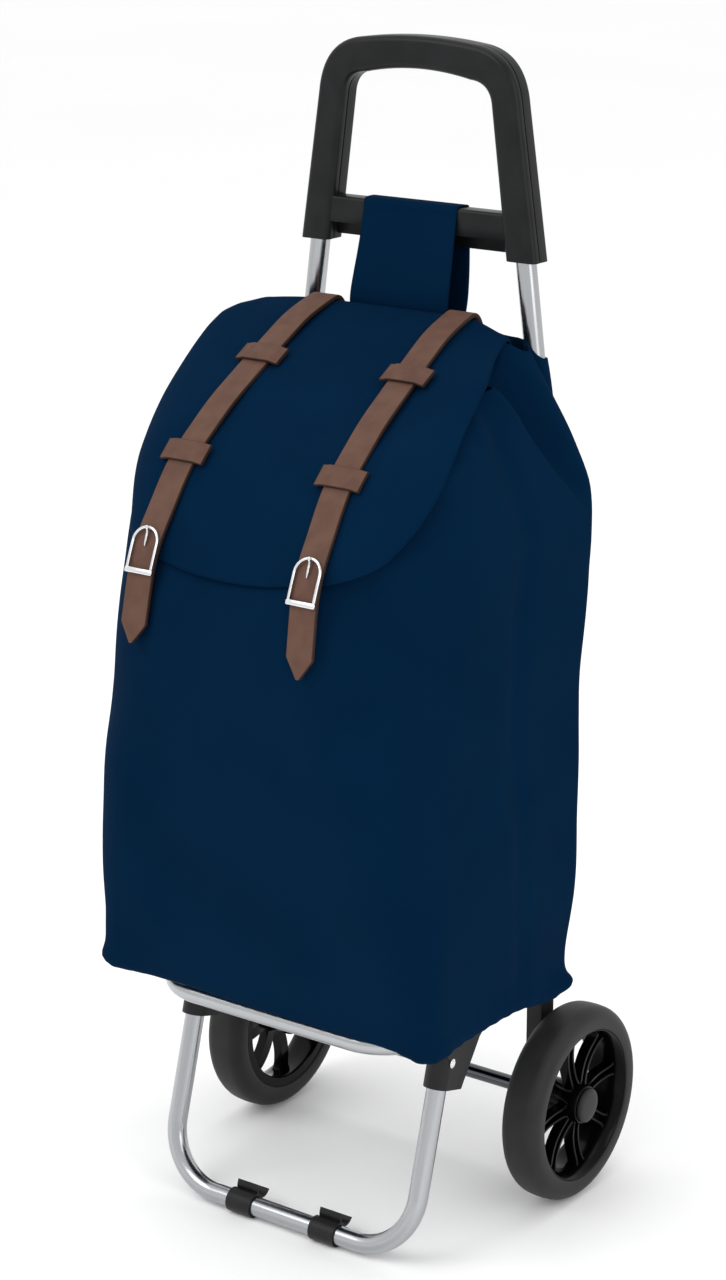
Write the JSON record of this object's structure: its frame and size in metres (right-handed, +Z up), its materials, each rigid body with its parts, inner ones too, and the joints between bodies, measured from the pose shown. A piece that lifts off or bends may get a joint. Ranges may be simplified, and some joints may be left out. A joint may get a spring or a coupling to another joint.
{
  "type": "shopping trolley",
  "caption": "Folding tube frame on wheels with a front leg and feet, carrying a hanging fabric bag whose lid is closed by buckled straps.",
  "frame": {"origin": "centre of the bounding box at floor level, under the middle of the trolley", "axes": "+X across the trolley to the right as seen from the front of its bag, +Y to the back, where the handle and wheels are, +Z up"},
  "size_m": [0.344, 0.354, 0.9405],
  "materials": {
    "aluminium": "satin",
    "chrome": "polished",
    "black_plastic": "satin",
    "gloss_black": "gloss",
    "tyre": "matte",
    "cloth": "woven",
    "leather": "satin",
    "board": "matte"
  },
  "bodies": {
    "frame": {"platform_tube": "aluminium", "axle": "chrome", "handle_front": "black_plastic", "handle_back": "black_plastic", "bag_body": "cloth", "base_board": "board", "hanging_loop": "cloth", "left_sleeve": "cloth", "left_upright": "aluminium", "left_axle_bracket": "black_plastic", "left_axle_washer": "black_plastic", "left_push_nut": "chrome", "left_leg_bracket": "black_plastic", "left_leg_rivet": "chrome", "right_sleeve": "cloth", "right_upright": "aluminium", "right_axle_bracket": "black_plastic", "right_axle_washer": "black_plastic", "right_push_nut": "chrome", "right_leg_bracket": "black_plastic", "right_leg_rivet": "chrome"},
    "front_leg": {"front_leg": "aluminium"},
    "left_foot": {"left_foot": "black_plastic"},
    "left_wheel": {"left_tyre": "tyre", "left_rim": "gloss_black", "left_hub_cap": "black_plastic"},
    "left_prong": {"left_prong": "chrome"},
    "right_foot": {"right_foot": "black_plastic"},
    "right_wheel": {"right_tyre": "tyre", "right_rim": "gloss_black", "right_hub_cap": "black_plastic"},
    "right_prong": {"right_prong": "chrome"},
    "flap": {"flap": "cloth", "left_strap": "leather", "left_upper_keeper": "leather", "left_lower_keeper": "leather", "left_buckle": "chrome", "right_strap": "leather", "right_upper_keeper": "leather", "right_lower_keeper": "leather", "right_buckle": "chrome"}
  },
  "joints": [
    {"name": "leg_fold", "type": "hinge", "parent": "frame", "child": "front_leg", "pos_m": [0, -0.05001, 0.165], "axis": [1, 0, 0], "range_deg": [0, 70.8]},
    {"name": "flap_open", "type": "hinge", "parent": "frame", "child": "flap", "pos_m": [0, 0.05949, 0.735], "axis": [-1, 0, 0], "range_deg": [0, 100]},
    {"name": "left_foot_turn", "type": "hinge", "parent": "front_leg", "child": "left_foot", "pos_m": [-0.042, -0.09471, 0.01], "axis": [1, 0, 0], "range_deg": [-70.8, 0]},
    {"name": "left_wheel_spin", "type": "hinge", "parent": "frame", "child": "left_wheel", "pos_m": [-0.1515, 0.09449, 0.0825], "axis": [1, 0, 0], "continuous": true},
    {"name": "left_prong_turn", "type": "hinge", "parent": "flap", "child": "left_prong", "pos_m": [-0.07606, -0.15364, 0.59388], "axis": [-1, 0, 0], "range_deg": [0, 70]},
    {"name": "right_foot_turn", "type": "hinge", "parent": "front_leg", "child": "right_foot", "pos_m": [0.042, -0.09471, 0.01], "axis": [1, 0, 0], "range_deg": [-70.8, 0]},
    {"name": "right_wheel_spin", "type": "hinge", "parent": "frame", "child": "right_wheel", "pos_m": [0.1515, 0.09449, 0.0825], "axis": [1, 0, 0], "continuous": true},
    {"name": "right_prong_turn", "type": "hinge", "parent": "flap", "child": "right_prong", "pos_m": [0.07606, -0.15364, 0.59388], "axis": [-1, 0, 0], "range_deg": [0, 70]}
  ],
  "couplings": [
    {"joint": "left_foot_turn", "follows": "leg_fold", "ratio": -1},
    {"joint": "right_foot_turn", "follows": "leg_fold", "ratio": -1}
  ]
}
